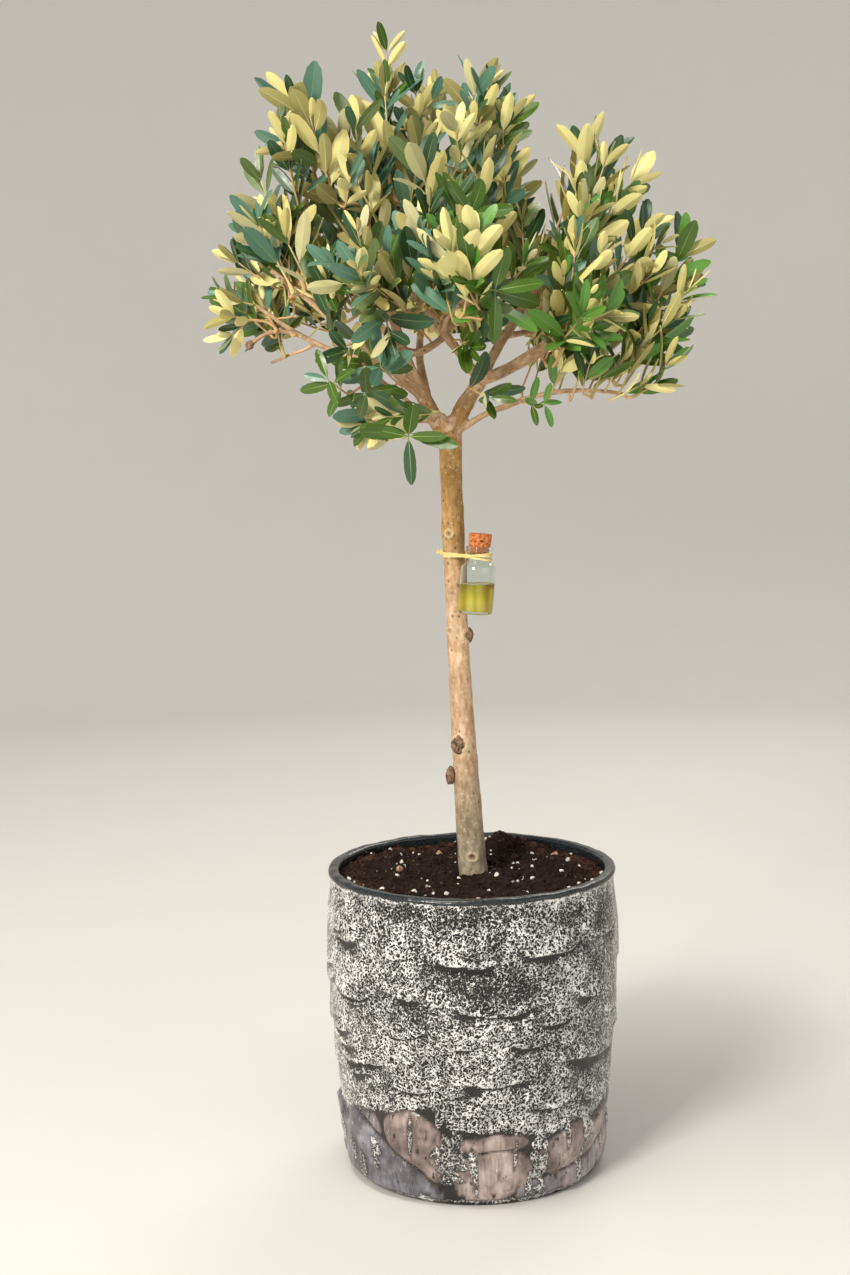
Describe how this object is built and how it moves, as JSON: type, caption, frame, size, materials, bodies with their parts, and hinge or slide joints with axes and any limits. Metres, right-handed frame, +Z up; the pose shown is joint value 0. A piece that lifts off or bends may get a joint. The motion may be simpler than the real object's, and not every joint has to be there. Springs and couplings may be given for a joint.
{
  "type": "potted olive tree",
  "caption": "Young standard olive tree with a bare slender trunk, forked boughs and a loose round crown, in a bulging glazed pot, with a small corked oil bottle tied to the trunk.",
  "frame": {"origin": "centre of the pot's flat underside, on the surface that the pot stands on", "axes": "+Z up, -Y towards the front, the side with the oil bottle, and +X to the right as seen from the front"},
  "size_m": [0.427, 0.368, 0.969],
  "materials": {
    "pot_glaze": "satin",
    "soil": "matte",
    "bark": "matte",
    "leaves": "satin",
    "bottle_glass": "gloss",
    "oil": "gloss",
    "cork": "matte",
    "raffia": "matte"
  },
  "bodies": {
    "root": {"pot": "pot_glaze", "soil": "soil", "trunk": "bark", "bough_right": "bark", "bough_front_right": "bark", "bough_up_left": "bark", "bough_back_right": "bark", "bough_left": "bark", "bough_left_upper": "bark", "bough_inner": "bark", "bough_far_left": "bark", "bough_lower_left": "bark", "bough_left_stub": "bark", "bough_left_spur": "bark", "bough_low_left": "bark", "bough_low_front": "bark", "bough_low_side": "bark", "bough_low_right": "bark", "bough_front": "bark", "bough_back_left": "bark", "bough_back": "bark", "bough_back_low_right": "bark", "foliage_top_spike": "leaves", "foliage_upper_left": "leaves", "foliage_top_right": "leaves", "foliage_right_upper": "leaves", "foliage_far_right": "leaves", "foliage_far_left": "leaves", "foliage_low_front": "leaves", "foliage_low_right": "leaves", "foliage_top_middle": "leaves", "foliage_upper_middle": "leaves", "foliage_left": "leaves", "foliage_front": "leaves", "foliage_front_left": "leaves", "foliage_centre": "leaves", "foliage_right": "leaves", "foliage_low_left": "leaves", "foliage_low_back_left": "leaves", "foliage_front_right": "leaves", "foliage_inner_right": "leaves", "foliage_top_back_left": "leaves", "foliage_top_back_right": "leaves", "foliage_back_left": "leaves", "foliage_back": "leaves", "foliage_back_right": "leaves", "foliage_far_back_left": "leaves", "foliage_far_back_right": "leaves", "foliage_low_back": "leaves", "foliage_low_back_right": "leaves", "bottle_glass": "bottle_glass", "bottle_oil": "oil", "bottle_cork": "cork", "bottle_tie": "raffia"}
  },
  "joints": []
}
